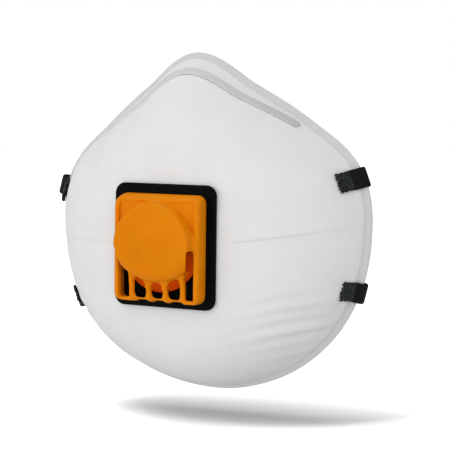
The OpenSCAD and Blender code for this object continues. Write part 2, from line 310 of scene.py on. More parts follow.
def clip_material():
    s = Surface("clip_coating_painted_light", grey(0.6), 0.42, Metallic=0.1, Coat_Weight=0.1, Coat_Roughness=0.3)
    grain = s.noise(s.stretched(s.weave(), (0.12, 2.4, 1)), 2.2, 4)
    s.bump(grain, 0.03)
    s.bump(s.noise(s.place(), 260, 2), 0.12)
    # Painted light and shade: the strip is lighter towards its left end, which faces the light, and
    # darker towards its right end, which lies in shade; the grain adds random tone.
    along = s.node("ShaderNodeSeparateXYZ", {"Vector": s.weave()}).outputs["X"]
    tone = s.math("ADD", s.remap(along, 0, 110, 0.3, 0.9), s.math("MULTIPLY", grain, 0.16))
    s.colour(s.ramp(tone, [(0.35, grey(0.72)), (0.6, grey(0.62)), (1.0, grey(0.49))]))
    s.rough(s.remap(grain, 0.2, 0.8, 0.36, 0.5))
    return s.material


def foam_material():
    s = Surface("nose_foam_cells", grey(0.06), 0.95, Sheen_Weight=0.3, Specular_IOR_Level=0.2)
    cells = s.node("ShaderNodeTexVoronoi", {"Vector": s.place(), "Scale": 1500.0},
                   feature="F1").outputs["Distance"]
    coarse = s.node("ShaderNodeTexVoronoi", {"Vector": s.place(), "Scale": 800.0},
                    feature="F1").outputs["Distance"]
    pore = s.math("MULTIPLY", cells, coarse)
    s.bump(pore, 0.5)
    s.colour(s.ramp(pore, [(0.02, grey(0.012)), (0.16, grey(0.05)), (0.4, grey(0.11))]))
    return s.material


# Width of a rib of the braid and length of a stitch
BRAID_RIB, BRAID_STITCH = 0.8, 0.9


def strap_material(name):
    """Black braided elastic: lengthwise ribs crossed by small slanting stitches."""
    s = Surface(name, grey(0.008), 0.8, Sheen_Weight=0.04, Sheen_Roughness=0.5,
                Specular_IOR_Level=0.12)
    weave = s.weave()
    parts = s.node("ShaderNodeSeparateXYZ", {"Vector": weave})
    across, along = parts.outputs["X"], parts.outputs["Y"]
    rib = s.math("ABSOLUTE", s.math("SINE", s.math("MULTIPLY", across, math.pi / BRAID_RIB)))
    slant = s.math("PINGPONG", across, BRAID_RIB)
    stitch = s.math("SINE", s.math("MULTIPLY", s.math("ADD", along, slant),
                                   2 * math.pi / BRAID_STITCH))
    knit = s.math("MULTIPLY", rib, s.remap(stitch, -1, 1, 0.45, 1))
    s.bump(knit, 0.22)
    fuzz = s.noise(weave, 5.0, 4)
    s.bump(fuzz, 0.1)
    s.colour(s.ramp(s.math("MULTIPLY", knit, s.remap(fuzz, 0.3, 0.7, 0.6, 1.1)),
                    [(0.05, grey(0.001)), (0.55, grey(0.004)), (1.0, grey(0.011))]))
    return s.material


def welded_strap_material():
    """The same elastic where the weld has melted and pitted it."""
    s = Surface("strap_welded", grey(0.012), 0.5, Specular_IOR_Level=0.2)
    pits = s.node("ShaderNodeTexVoronoi", {"Vector": s.weave(), "Scale": 1.5, "Randomness": 0.7},
                  feature="SMOOTH_F1").outputs["Distance"]
    rough = s.noise(s.weave(), 3.2, 5, 0.7)
    s.bump(pits, 0.5)
    s.bump(rough, 0.4)
    s.colour(s.ramp(s.math("MULTIPLY", rough, pits),
                    [(0.08, grey(0.002)), (0.24, (0.010, 0.012, 0.012)),
                     (0.36, (0.06, 0.078, 0.078))]))
    s.rough(s.remap(rough, 0.3, 0.7, 0.42, 0.75))
    return s.material


def lid_material():
    """Satin orange polypropylene, slightly translucent."""
    orange = (0.76, 0.225, 0.002)
    s = Surface("lid_orange", orange, 0.36, Specular_IOR_Level=0.04, Subsurface_Weight=0.1,
                Subsurface_Scale=0.002)
    s.shader.inputs["Subsurface Radius"].default_value = (1.0, 0.35, 0.08)
    place = s.place()
    cloud = s.noise(place, 55, 3)
    grain = s.noise(place, 1900, 2)
    s.colour(s.ramp(cloud, [(0.3, (0.72, 0.205, 0.001)), (0.7, (0.79, 0.24, 0.002))]))
    s.rough(s.remap(s.noise(place, 160, 4), 0.3, 0.7, 0.32, 0.42))
    s.bump(grain, 0.018)
    s.bump(cloud, 0.10)
    return s.material


def skirt_painted_shade_material():
    """The same plastic, darker and redder: painted shade where it lies deep in the cover under the
    pad.
    """
    s = Surface("lid_orange_painted_shade", (0.58, 0.065, 0.0), 0.45, Specular_IOR_Level=0.02)
    cloud = s.noise(s.place(), 160, 3)
    s.colour(s.ramp(cloud, [(0.3, (0.48, 0.045, 0.0)), (0.7, (0.60, 0.068, 0.0))]))
    s.bump(cloud, 0.06)
    return s.material


def base_material():
    """Matte black moulded plastic with a fine spark-eroded grain."""
    s = Surface("base_black", grey(0.002), 0.5, Specular_IOR_Level=0.03)
    place = s.place()
    grain = s.noise(place, 1500, 3)
    s.bump(grain, 0.05)
    s.rough(s.remap(s.noise(place, 120, 4), 0.3, 0.7, 0.42, 0.6))
    s.colour(s.ramp(grain, [(0.3, grey(0.0012)), (0.7, grey(0.003))]))
    return s.material


def flap_material():
    """Pale translucent silicone."""
    s = Surface("flap_silicone", (0.62, 0.60, 0.52), 0.38, Subsurface_Weight=0.4,
                Subsurface_Scale=0.001, Specular_IOR_Level=0.45)
    cloud = s.noise(s.place(), 240, 3)
    s.colour(s.ramp(cloud, [(0.3, (0.56, 0.54, 0.46)), (0.7, (0.66, 0.64, 0.56))]))
    s.bump(cloud, 0.05)
    return s.material


# ---- Cup surface ------------------------------------------------------------------------

def round_value(values, angle):
    """Smooth value at an angle of a quantity given at the stations; both halves are alike."""
    a = np.abs((np.asarray(angle, float) + 180) % 360 - 180)
    k = np.clip(np.searchsorted(STATIONS, a, side="right") - 1, 0, len(STATIONS) - 2)
    slope = np.zeros(len(values))
    slope[1:-1] = (values[2:] - values[:-2]) / (STATIONS[2:] - STATIONS[:-2])
    step = STATIONS[k + 1] - STATIONS[k]
    s = (a - STATIONS[k]) / step
    return ((2 * s**3 - 3 * s**2 + 1) * values[k] + (s**3 - 2 * s**2 + s) * step * slope[k]
            + (3 * s**2 - 2 * s**3) * values[k + 1] + (s**3 - s**2) * step * slope[k + 1])


def turned(radius, y, angle):
    a = np.radians(angle)
    return np.stack(np.broadcast_arrays(radius * np.sin(a), y, radius * np.cos(a)), -1)


def seat_radius(angle):
    a = np.radians(angle)
    return SEAT_HALF / (np.abs(np.cos(a)) ** 4 + np.abs(np.sin(a)) ** 4) ** 0.25


def wall_point(angle, share, depth):
    """Point of the cup's wall: angle round the valve axis, share of the way out, depth."""
    angle, share = np.broadcast_arrays(np.asarray(angle, float), np.asarray(share, float))
    turn = np.radians(round_value(WALL_TURN, angle))
    power = 2 / round_value(WALL_POWER, angle)
    low = np.cos(turn) ** power
    out = np.sin(share * turn) ** power / np.sin(turn) ** power
    front = (np.cos(share * turn) ** power - low) / (1 - low)
    inner = seat_radius(angle)
    outer = round_value(EDGE_RADIUS, angle) - EDGE_OUT - depth
    back = round_value(EDGE_Y, angle) - EDGE_BACK
    return turned(inner + (outer - inner) * out, back - (back + CUP_DEPTH - depth) * front, angle)


def edge_rz(angle, share, depth):
    """Radius and Y of a point of the welded edge, share of the way across it."""
    radius = (round_value(EDGE_RADIUS, angle) - EDGE_OUT * (1 - share)
              - depth * EDGE_PRESS * math.sin(EDGE_SLOPE))
    y = (round_value(EDGE_Y, angle) - EDGE_BACK * (1 - share)
         + depth * EDGE_PRESS * math.cos(EDGE_SLOPE))
    return radius, y


def edge_point(angle, share, depth):
    return turned(*edge_rz(angle, share, depth), angle)


def clip_share(angle):
    """Share of the way out along the wall at which the nose clip lies."""
    return 0.82 + 0.0014 * angle + 0.00003 * angle**2


def crease_z(x):
    """Height of the fold line that runs across the cup at both sides of the valve."""
    return 0.3 + 5.7 * np.clip((x - 10) / 57, 0, 1) ** 1.7


FOLD_GAIN = 1.9
GROOVE_DEPTH = 0.5


def cover_relief(angle, share, points):
    """How far the outer cover stands off its smooth shape, in mm, outwards positive."""
    x, z = points[..., 0], points[..., 2]
    signed = (angle + 180) % 360 - 180
    body = smooth_step(share, 0.02, 0.14) * (1 - smooth_step(share, 0.93, 0.99))
    relief = 0.10 * waves(x, z, 3, 46) * body

    # Fold line across the middle, sharp at the right of the valve and faint elsewhere
    u = z - crease_z(x)
    at_right = smooth_step(x, 24, 31) * (1 - smooth_step(x, 50, 64))
    at_left = smooth_step(-x, 22, 30) * (1 - smooth_step(-x, 56, 66))
    strength = 0.18 * smooth_step(np.abs(x), 20, 25) + 0.8 * at_right + 0.28 * at_left
    line = -0.26 * bell(u, 0.55) + 0.20 * bell(u - 1.5, 1.6) - 0.24 * bell(u + 2.2, 2.6)
    relief += FOLD_GAIN * line * strength * body

    # Drawn folds that run in from the strap's ends
    low_zone = bell(x - 47, 15) * bell(z + 31, 14)
    w = z - 0.20 * (x - 45)
    low_folds = (np.sin(2 * math.pi * w / 4.9 + 0.7 * np.sin(x / 9)) * 0.19
                 + np.sin(2 * math.pi * w / 8.3 + 1.1) * 0.12)
    high_zone = bell(x - 55, 12) * bell(z - 33, 8)
    high_folds = np.sin(2 * math.pi * (z - 0.04 * x) / 4.4 + 0.5) * 0.14
    left_zone = bell(x + 50, 10) * bell(z + 26, 13)
    left_folds = np.sin(2 * math.pi * (z + 0.22 * x) / 5.4) * 0.12
    left_high = bell(x + 52, 9) * bell(z - 31, 8)
    relief += FOLD_GAIN * (low_zone * low_folds + high_zone * high_folds
                           + left_zone * left_folds + left_high * high_folds) * body

    # Small dents of the shaping mould
    relief -= 0.16 * bell(x - 31.5, 1.3) * bell(z - 4.5, 3.2) * body
    relief -= 0.12 * bell(x - 39, 2.0) * bell(z + 5.0, 1.4) * body

    # Channel under the nose clip, with the fabric drawn up along it
    across = (share - clip_share(signed)) / WALL_SHARE_MM
    along = 1 - smooth_step(np.abs(signed), CLIP_SPAN - 0.5, CLIP_SPAN + 1.6)
    channel = 1 - smooth_step(np.abs(across), CLIP_W / 2 - 0.1, CLIP_W / 2 + 0.7)
    relief -= 0.38 * channel * along
    relief += 0.14 * bell(np.abs(across) - CLIP_W / 2 - 1.3, 0.9) * along

    # Straps' welds press the fabric in
    for weld_angle, weld in ((UPPER_ANGLE, UPPER_WELD), (LOWER_ANGLE, LOWER_WELD)):
        sideways = np.radians(np.abs(signed) - weld_angle) * np.hypot(x, z)
        outwards = (share - weld) / WALL_SHARE_MM
        pad = (1 - smooth_step(np.abs(sideways), STRAP_W / 2 - 0.2, STRAP_W / 2 + 1.3))
        pad = pad * smooth_step(outwards, -1.6, 0.6)
        relief -= 0.20 * pad
        ring = bell(np.abs(sideways) - STRAP_W / 2 - 1.7, 1.0) * smooth_step(outwards, -3, 3)
        relief += 0.12 * ring * np.sin(share * 60)

    # Groove where the wall meets the welded edge
    return relief * smooth_step(share, 0, 0.05) - GROOVE_DEPTH * bell(share - 1.0, 0.012)


def edge_relief(share):
    """The same across the welded edge: the groove's other side and a rounded bead."""
    return -GROOVE_DEPTH * bell(share, 0.24) + 0.16 * bell(share - 0.6, 0.26)


def fine_angles(count):
    """Angles round the cup, closer together where the fold line runs."""
    a = np.linspace(0, 360, 7201)
    density = 1 + 3 * bell(a - 88, 6) + 3 * bell(a - 272, 6)
    total = np.concatenate([[0], np.cumsum((density[1:] + density[:-1]) / 2)])
    return np.interp(np.arange(count) / count * total[-1], total, a)


def fine_shares(count):
    """Shares of the way out along the wall, closer together near the welded edge."""
    t = np.linspace(0, 1, 2001)
    density = 1 + 1.6 * smooth_step(t, 0.9, 0.975)
    total = np.concatenate([[0], np.cumsum((density[1:] + density[:-1]) / 2)])
    return np.interp(np.linspace(0, 1, count), total / total[-1], t)


def rounded_rim(a, b, outwards):
    """Rows that round the rim off between the two sides of a layer."""
    swell = np.linalg.norm(b - a, axis=-1, keepdims=True) * 0.35
    return [a * (1 - s) + b * s + outwards * swell * math.sin(math.pi * s)
            for s in (0.25, 0.5, 0.75)]


def cup_layer(name, node, depth_from, depth_to, angles, shares, edge_rows, material, relief=None):
    """One closed fabric layer between two depths under the cup's outer face."""
    angle = np.asarray(angles)[None, :]
    share = np.asarray(shares)[:, None]
    seat = np.linspace(0, 1, 4)[:-1, None]
    edge = np.linspace(0, 1, edge_rows + 1)[1:, None]
    sides = []
    for depth, raised in ((depth_from, True), (depth_to, False)):
        flat = turned(HOLE_R + (seat_radius(angle) - HOLE_R) * seat, depth - CUP_DEPTH, angle)
        wall = wall_point(angle, share, depth)
        if raised and relief is not None:
            height = relief(np.broadcast_to(angle, wall.shape[:2]),
                            np.broadcast_to(share, wall.shape[:2]), wall)
            wall = wall + grid_normals(wall, wrap=True) * height[..., None]
        welded = edge_point(angle, edge, depth)
        if raised and relief is not None:
            front = turned(math.sin(EDGE_SLOPE), -math.cos(EDGE_SLOPE), angle)
            welded = welded + front * edge_relief(edge)[..., None]
        sides.append(np.concatenate([flat, wall, welded]))
    outer, inner = sides
    columns = outer.shape[1]
    slope_out = turned(math.cos(EDGE_SLOPE), math.sin(EDGE_SLOPE), angle)[0]
    cut = rounded_rim(outer[-1], inner[-1], slope_out)
    hole = rounded_rim(inner[0], outer[0], turned(-1.0, 0.0, angle)[0])
    loop = np.concatenate([outer, cut, inner[::-1], hole])
    steps = np.linalg.norm(np.diff(outer, axis=0, prepend=outer[:1]), axis=-1)
    arc = HOLE_R + np.cumsum(steps, axis=0)
    outwards = np.concatenate([np.zeros(len(seat)), np.asarray(shares), np.full(len(edge), 1.2)])
    flat_out = np.stack([arc * np.sin(np.radians(angle)), arc * np.cos(np.radians(angle)),
                         np.broadcast_to(outwards[:, None], arc.shape)], -1)
    weave = np.concatenate([flat_out, flat_out[-1:].repeat(len(cut), 0), flat_out[::-1],
                            flat_out[:1].repeat(len(hole), 0)])
    total = loop.shape[0]
    faces = grid_faces(total, columns, wrap=True)
    last = (total - 1) * columns
    j = np.arange(columns)
    close = np.stack([last + j, j, (j + 1) % columns, last + (j + 1) % columns], -1)
    made = add_mesh(name, loop.reshape(-1, 3), np.concatenate([faces, close]), material,
                    weave.reshape(-1, 3))
    return finish_piece(made, "root", (node,))


def finish_piece(made, body, replaced):
    """Takes the looks of a CAD node over: its body and its place."""
    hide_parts(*replaced)
    if body is not None:
        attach(made, body)
    return made


def build_cup():
    depths = np.cumsum([0, COVER_T, FILTER_T, SHELL_T, LINING_T])
    cover_cloth = nonwoven("cover_nonwoven", 0.76, 1.1, 0.035, 0.05)
    filter_cloth = nonwoven("filter_nonwoven", 0.78, 2.0, 0.01, 0.05)
    shell_cloth = nonwoven("shell_felt", 0.72, 3.0, 0.0, 0.12, 0.01)
    lining_cloth = nonwoven("lining_nonwoven", 0.80, 1.4, 0.05, 0.07, 0.004)
    cup_layer("cover_cloth", "outer_cover", depths[0], depths[1], fine_angles(400),
              fine_shares(100), 8, cover_cloth, cover_relief)
    coarse = np.arange(0, 360, 2.5)
    cup_layer("filter_cloth", "filter_layer", depths[1] + 0.02, depths[2] - 0.02, coarse,
              fine_shares(40), 4, filter_cloth)
    cup_layer("shell_cloth", "support_shell", depths[2], depths[3], coarse,
              fine_shares(40), 4, shell_cloth)
    cup_layer("lining_cloth", "inner_lining", depths[3] + 0.02, depths[4], np.arange(0, 360, 1.5),
              fine_shares(80), 6, lining_cloth)


# ---- Nose clip and foam -----------------------------------------------------------------

def closed_band(outer, inner):
    """Points and faces of a closed sheet between two grids of the same size."""
    rows, columns = outer.shape[:2]
    points = np.concatenate([outer.reshape(-1, 3), inner.reshape(-1, 3)])
    half = rows * columns
    border = np.concatenate([np.arange(columns), np.arange(1, rows) * columns + columns - 1,
                             (rows - 1) * columns + np.arange(columns - 2, -1, -1),
                             np.arange(rows - 2, 0, -1) * columns])
    after = np.roll(border, -1)
    walls = np.stack([border, after, after + half, border + half], -1)
    faces = np.concatenate([grid_faces(rows, columns), grid_faces(rows, columns, half, flip=True),
                            walls])
    return points, faces


# Radius at which the clip lies, its rounded edges and how far it is sunk into the cover
CLIP_R, CLIP_ROUND, CLIP_SUNK = 62, 0.45, 0.30
FOAM_SPAN = 37.5


def build_nose_clip(material):
    """Coated aluminium strip with round ends, lying in its channel in the cover."""
    along = np.sin(np.linspace(-math.pi / 2, math.pi / 2, 181)) * CLIP_SPAN
    across = np.sin(np.linspace(-math.pi / 2, math.pi / 2, 17))
    radius_deg = CLIP_W / 2 / CLIP_R * 180 / math.pi
    past = np.clip((np.abs(along) - (CLIP_SPAN - radius_deg)) / radius_deg, 0, 1)
    half = CLIP_W / 2 * np.sqrt(np.maximum(1 - past**2, 0.004))
    a = along[None, :]
    v = across[:, None]
    share = clip_share(a) + v * half[None, :] * WALL_SHARE_MM
    in_edge = np.clip((np.abs(v) * half - (half - CLIP_ROUND)) / CLIP_ROUND, 0, 1)
    inset = 1 - np.sqrt(np.clip(1 - in_edge**2, 0, 1))
    buckle = 0.05 * np.sin(a * 0.55) * np.sin(a * 0.21 + 1)
    top = wall_point(a, share, 0)
    normal = grid_normals(top, wrap=False)
    outer = top + normal * (CLIP_T * 0.62 - 0.30 * inset + buckle)[..., None]
    inner = top - normal * CLIP_SUNK
    points, faces = closed_band(outer, inner)
    arc = np.cumsum(np.linalg.norm(np.diff(outer[8], axis=0, prepend=outer[8][:1]), axis=-1))
    weave = np.stack(np.broadcast_arrays(arc[None, :], v * half[None, :], 0.0), -1).reshape(-1, 3)
    made = add_mesh("nose_clip_strip", points, faces, material, np.concatenate([weave, weave]),
                    sharp_above=50)
    return finish_piece(made, "root", ("nose_clip",))


def build_nose_foam(material):
    """Soft foam pad inside the nose: crowned, with rounded edges and pressed corners."""
    a = np.linspace(-FOAM_SPAN, FOAM_SPAN, 121)[None, :]
    v = np.linspace(-1, 1, 41)[:, None]
    u = a / FOAM_SPAN
    corner = (np.abs(u) ** 10 + np.abs(v) ** 8) ** 0.1
    share = 0.815 + 0.135 * v
    crown = np.clip(1 - corner**6, 0, 1) ** 0.4
    glued = wall_point(a, share, CUP_T)
    normal = grid_normals(glued, wrap=False)
    lumps = 0.12 * waves(glued[..., 0], glued[..., 2], 11, 9)
    rise = 0.25 + (FOAM_T - 0.6 + lumps) * crown
    points, faces = closed_band(glued, glued - normal * rise[..., None])
    made = add_mesh("nose_foam_pad", points, faces, material)
    return finish_piece(made, "root", ("nose_foam",))


# ---- Straps -----------------------------------------------------------------------------
# Lengths along a strap from its end: the weld pad, the stretch over which the doubled end thins
# out to one thickness, and the point where the strap leaves the cup.

WELD_LEN = 6.2
THIN_FROM, THIN_TO = 9, 15
SECTION_POINTS = 27


def smooth_route(route, spacing=1.5):
    """Catmull-Rom curve through given points."""
    points = np.array(route, float)
    ends = np.concatenate([[2 * points[0] - points[1]], points, [points[-2] * (-1, 1, 1)]])
    curve = []
    for p0, p1, p2, p3 in zip(ends, ends[1:], ends[2:], ends[3:]):
        steps = max(2, round(float(np.linalg.norm(p2 - p1)) / spacing))
        for s in np.arange(steps) / steps:
            curve.append(0.5 * (2 * p1 + (p2 - p0) * s + (2 * p0 - 5 * p1 + 4 * p2 - p3) * s**2
                                + (3 * p1 - p0 - 3 * p2 + p3) * s**3))
    curve.append(points[-1])
    return np.array(curve)


def fold_path(end):
    """Middle line of a welded strap end: over the wall, round the edge and back inwards."""
    angle, weld, gap, half_t = end
    share = np.linspace(weld, 0.985, 12)
    over = wall_point(np.full_like(share, angle), share, -(WELD_LIFT + half_t))
    tip_r, tip_y = edge_rz(angle, 1.0, CUP_T / 2)
    bend = CUP_T * EDGE_PRESS / 2 + gap + half_t
    turn = np.linspace(EDGE_SLOPE - math.pi / 2, math.pi / 2, 14)
    fold = turned(tip_r + bend * np.cos(turn), tip_y + bend * np.sin(turn), angle)
    leg_r = tip_r - np.array([1.5, 3.0, 4.5])
    leg = turned(leg_r, np.full_like(leg_r, tip_y + bend), angle)
    return np.concatenate([over, fold, leg])


def spaced(points, values, step):
    """Points and values at even steps along a line."""
    length = np.concatenate([[0], np.cumsum(np.linalg.norm(np.diff(points, axis=0), axis=1))])
    count = int(round(length[-1] / step)) + 1
    at = np.linspace(0, length[-1], count)
    point = np.stack([np.interp(at, length, points[:, i]) for i in range(3)], -1)
    value = np.stack([np.interp(at, length, values[:, i]) for i in range(3)], -1)
    return point, value, at


def softened(values, passes):
    """Evens a row of vectors out along its length, keeping both ends."""
    out = values.copy()
    for _ in range(passes):
        out[1:-1] = (out[:-2] + 2 * out[1:-1] + out[2:]) / 4
    return out


def unit(v):
    return v / np.linalg.norm(v, axis=-1, keepdims=True)


def strap_lines(route, right_end, left_end):
    """Middle line of a whole strap and the direction of its width, from right to left."""
    free = smooth_route(route)
    ahead = unit(np.gradient(free, axis=0))
    up = unit(np.cross(ahead, (0, 1, 0)))
    side = unit(np.cross(up, ahead))
    run = np.concatenate([[0], np.cumsum(np.linalg.norm(np.diff(free, axis=0), axis=1))])
    # The band turns by a quarter over the first six stretches of its route
    turning = np.linalg.norm(np.diff(np.array(route[:7], float), axis=0), axis=1).sum()
    twist = (math.pi / 2 * smooth_step(run, 0, turning))[:, None]
    wide = np.cos(twist) * up + np.sin(twist) * side
    points, widths = [], []
    for end in (right_end, left_end):
        over = fold_path(end)
        a = math.radians(end[0])
        across = np.array([math.cos(a), 0, -math.sin(a)])
        points.append(np.concatenate([over, free]))
        widths.append(np.concatenate([np.tile(across, (len(over), 1)), wide]))
    points = np.concatenate([points[0], points[1][-2::-1] * (-1, 1, 1)])
    widths = np.concatenate([widths[0], widths[1][-2::-1] * (-1, 1, 1)])
    point, width, at = spaced(points, widths, 0.5)
    point = softened(point, 3)
    width = softened(width, 60)
    ahead = unit(np.gradient(point, axis=0))
    width = unit(width - ahead * np.sum(width * ahead, axis=1, keepdims=True))
    return point, width, np.cross(ahead, width), at


def strap_section():
    """Outline of a strap's section, as shares of its half width and half thickness."""
    v = np.sin(np.linspace(-math.pi / 2, math.pi / 2, SECTION_POINTS))
    top = np.sqrt(np.clip(1 - np.abs(v) ** 9, 0, 1))
    section_v = np.concatenate([v, v[-2:0:-1]])
    section_side = np.concatenate([top, -top[-2:0:-1]])
    section_side[0] = section_side[SECTION_POINTS - 1] = 0
    return section_v, section_side


def strap_caps(rows, m):
    """Faces that close both ends of a strap of the given rows of m points."""
    caps = []
    for row, flip in ((0, False), (rows - 1, True)):
        start = row * m
        for k in range(SECTION_POINTS - 2):
            corners = (start + k, start + k + 1, start + (m - k - 1) % m, start + (m - k) % m)
            face = list(dict.fromkeys(corners))
            caps.append(face[::-1] if flip else face)
        tip = [start + SECTION_POINTS + k for k in (-2, -1, 0)]
        caps.append(tip[::-1] if flip else tip)
    return caps


def build_strap(name, route, right_end, left_end, nodes, materials):
    """One continuous strap: weld pad, fold, free band, fold and weld pad."""
    point, width, thick, at = strap_lines(route, right_end, left_end)
    total = at[-1]
    from_end = np.minimum(at, total - at)
    welded = 1 - smooth_step(from_end, WELD_LEN - 1.2, WELD_LEN)
    end_t = np.where(at < total / 2, right_end[3], left_end[3])
    half_t = end_t + (STRAP_T / 2 - end_t) * smooth_step(from_end, THIN_FROM, THIN_TO)
    section_v, section_side = strap_section()
    m = len(section_v)
    ribs = 0.045 * np.abs(np.sin(section_v * STRAP_W / 2 * math.pi / BRAID_RIB))
    draw = np.random.default_rng(len(route))
    grain = softened(draw.normal(0, 1, (len(at), m)), 1)
    fray = 0.45 * draw.normal(0, 1, (2, m))
    points = np.zeros((len(at), m, 3))
    for i, flat in enumerate(welded):
        height = (section_side * (half_t[i] * (1 - 0.2 * flat) + ribs * (1 - 0.8 * flat))
                  + 0.15 * grain[i] * flat)
        half_w = STRAP_W / 2 * (1 - 0.05 * flat) + 0.16 * flat * math.sin(at[i] * 3.1)
        points[i] = point[i] + np.outer(section_v * half_w, width[i]) + np.outer(height, thick[i])
    # Frayed cut edges
    ahead = unit(np.gradient(point, axis=0))
    for k, share in enumerate((1, 0.75, 0.4)):
        points[k] -= np.outer(fray[0] * share, ahead[k])
        points[-1 - k] += np.outer(fray[1] * share, ahead[-1 - k])
    faces = list(grid_faces(len(at), m, wrap=True))
    weave = np.zeros((len(at), m, 3))
    weave[..., 0] = section_v[None, :] * STRAP_W / 2 + STRAP_W / 2
    weave[..., 1] = at[:, None]
    weave[..., 2] = section_side[None, :] * 0.3
    made = add_mesh(name, points.reshape(-1, 3), faces + strap_caps(len(at), m), materials[0],
                    weave.reshape(-1, 3))
    made.data.materials.append(materials[1])
    looks = np.ones(len(made.data.polygons), int)
    looks[:len(faces)] = np.repeat(welded[:-1] > 0.5, m)
    made.data.polygons.foreach_set("material_index", looks)
    finish_piece(made, None, nodes)
    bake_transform(made)
    return made


# Welded ends as angle, share of the way out where the end lies, gap at the fold, half thickness.
# The left ends are turned under and doubled, and are welded a little lower than the right ones.
# The free band keeps one route for both sides, so it bends sharply behind the left ends.
UPPER_RIGHT = (UPPER_ANGLE, UPPER_WELD + 0.03, 0.05, 0.36)
UPPER_LEFT = (UPPER_ANGLE + 3.5, UPPER_WELD - 0.03, 1.6, 0.85)
LOWER_RIGHT = (LOWER_ANGLE, LOWER_WELD, 0.9, 0.42)
LOWER_LEFT = (LOWER_ANGLE + 5.8, LOWER_WELD - 0.09, 1.3, 0.85)


def build_straps():
    looks = (strap_material("strap_braid"), welded_strap_material())
    build_strap("upper_elastic", UPPER_ROUTE, UPPER_RIGHT, UPPER_LEFT,
                ("upper_strap", "strap_end_upper_right", "strap_end_upper_left"), looks)
    build_strap("lower_elastic", LOWER_ROUTE, LOWER_RIGHT, LOWER_LEFT,
                ("lower_strap", "strap_end_lower_right", "strap_end_lower_left"), looks)


# ---- Valve, as distance fields ----------------------------------------------------------
# x is to the right, z is up and h is how far a point stands off the front of the base plate.

VOXEL = 0.3
FIELD_BAND = 2.0


def inside_both(a, b):
    """Distance to the corner where two distances are both below zero."""
    return np.hypot(np.maximum(a, 0), np.maximum(b, 0)) + np.minimum(np.maximum(a, b), 0)


def rectangle(x, z, half_w, half_h, corner):
    """Distance to a flat rectangle with round corners."""
    qx = np.abs(x) - half_w + corner
    qz = np.abs(z) - half_h + corner
    return inside_both(qx, qz) - corner


def raised(outline, h, low, high, rounding):
    """Distance to an outline raised from low to high, with rounded edges."""
    a = outline + rounding
    b = np.abs(h - (low + high) / 2) - (high - low) / 2 + rounding
    return inside_both(a, b) - rounding


def soft_min(a, b, k):
    s = np.clip(0.5 + 0.5 * (b - a) / k, 0, 1)
    return b * (1 - s) + a * s - k * s * (1 - s)


def soft_max(a, b, k):
    return -soft_min(-a, -b, k)


def moulded(name, field, low, high, soften, material):
    """Mesh of the surface where field(x, z, h) is zero, with its sharp edges softened.

    Gives the object and the middles of its faces in x, z and h.
    """
    axes = [np.arange(lo, hi + VOXEL, VOXEL, dtype=np.float32) for lo, hi in zip(low, high)]
    x, z, h = np.meshgrid(*axes, indexing="ij")
    values = np.clip(field(x, z, h), -FIELD_BAND, FIELD_BAND).astype(np.float32)
    for _ in range(soften):
        for axis in range(3):
            values = (np.roll(values, 1, axis) + 2 * values + np.roll(values, -1, axis)) / 4
    grid = openvdb.FloatGrid(FIELD_BAND)
    grid.copyFromArray(np.ascontiguousarray(values, dtype=np.float32))
    points, quads = grid.convertToQuads(0.0)
    place = points * VOXEL + np.array(low)
    turn = math.radians(VALVE_TURN)
    x, z = place[:, 0], place[:, 1]
    placed = np.stack([x * math.cos(turn) + z * math.sin(turn), -PLATE_FRONT - place[:, 2],
                       z * math.cos(turn) - x * math.sin(turn)], -1)
    return add_mesh(name, placed, quads, material), place[quads].mean(axis=1)


# Details of the cover. Its skirt slants in more than the CAD model's.
SKIRT_R, SKIRT_SLOPE, SKIRT_T, SKIRT_LOW = 18.4, 1.25, 1.2, 2.2
RECESS_H = 4.7
RIB_H = 5.2
SLOT_TOP = -1.6
SLOT_SIDE = 13.3
WINDOW_BOTTOM = -20.1
ARC_R, ARC_Z = 23.6, 9.9


def pad_top(x, z):
    """Height of the cover's round pad, which rolls off towards the ribs below it."""
    from_arc = np.clip((ARC_R - np.hypot(x, z - ARC_Z)) / 4.2, 0, 1)
    face = PAD_RISE - 1.7 * smooth_step(-z, -3, 12)
    return RIB_H + 0.6 + (face - RIB_H - 0.6) * np.sqrt(1 - (1 - from_arc) ** 2)


